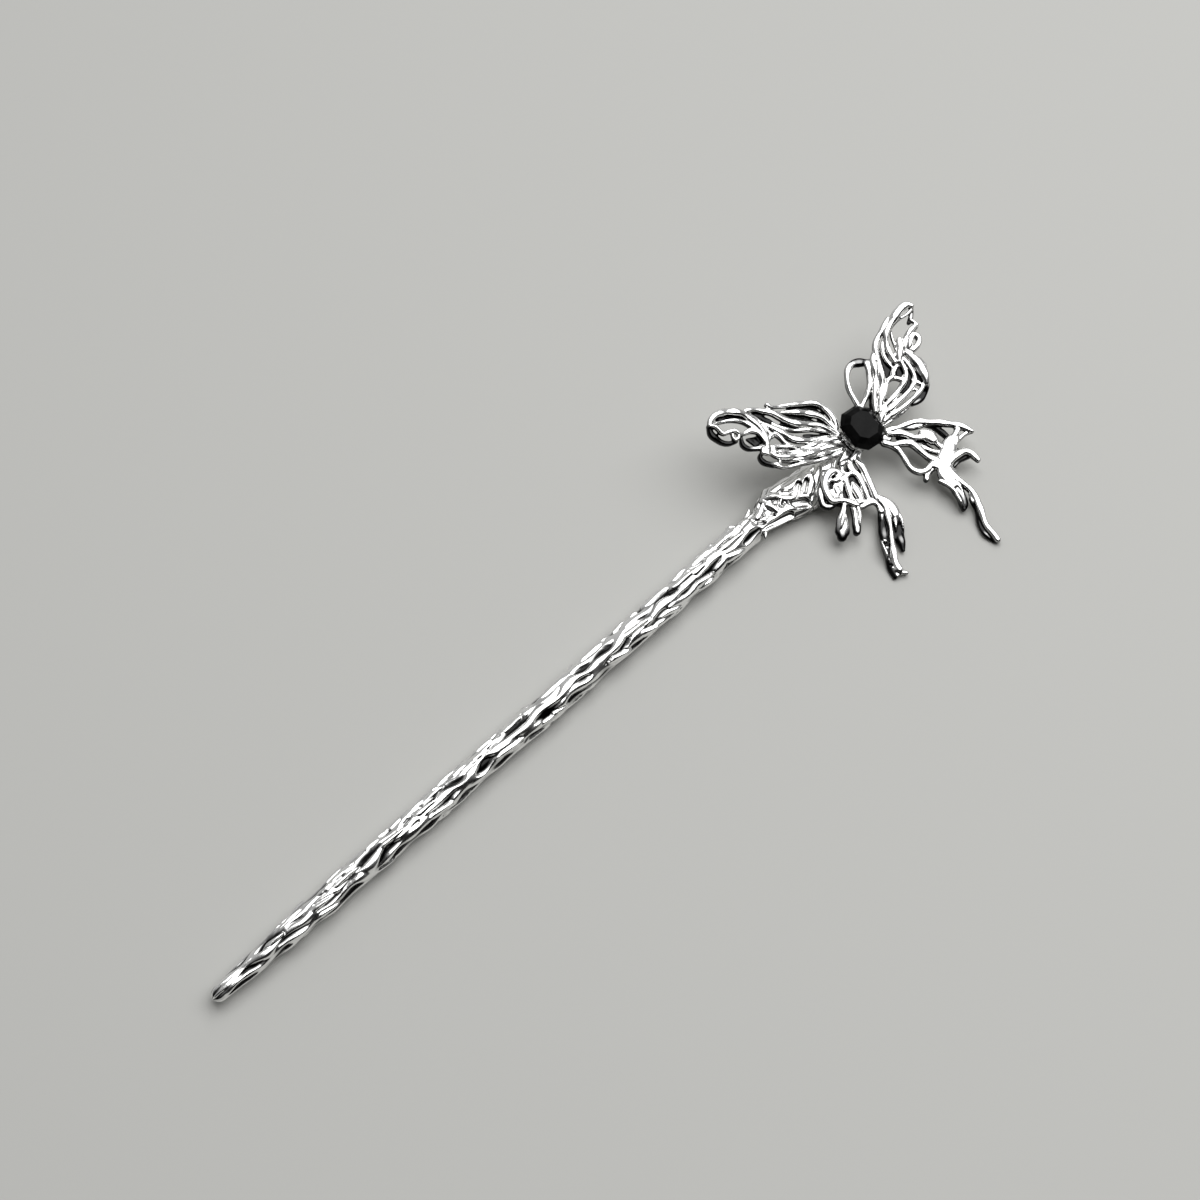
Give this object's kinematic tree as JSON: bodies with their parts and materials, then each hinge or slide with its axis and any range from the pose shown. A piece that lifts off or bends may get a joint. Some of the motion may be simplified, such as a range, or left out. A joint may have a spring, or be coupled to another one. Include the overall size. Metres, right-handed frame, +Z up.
{
  "type": "decorative hair pin",
  "caption": "Silver-toned hair stick with a bark-textured shaft, a nuggety neck and an openwork butterfly whose wings run into drips, set with a black faceted stone.",
  "frame": {"origin": "middle of the bounding box, at the table it lies on", "axes": "+X along the shaft from its blunt tip to the butterfly, +Y towards the butterfly's head, +Z up from the table"},
  "size_m": [0.1743, 0.048, 0.0161],
  "materials": {
    "antiqued_metal": "polished on the ridges, darkened in the pits",
    "polished_metal": "bright polish with darkened grooves",
    "rivet_metal": "filed flush",
    "black_stone": "opaque black, polished facets",
    "adhesive": "set resin"
  },
  "bodies": {
    "root": {"pin_shaft": "antiqued_metal", "neck": "antiqued_metal", "base_plate": "polished_metal", "left_forewing": "polished_metal", "right_forewing": "polished_metal", "left_hindwing": "polished_metal", "right_hindwing": "polished_metal", "stone_cup": "polished_metal", "stone": "black_stone", "stone_adhesive": "adhesive", "hub_rivet": "rivet_metal"}
  },
  "joints": []
}
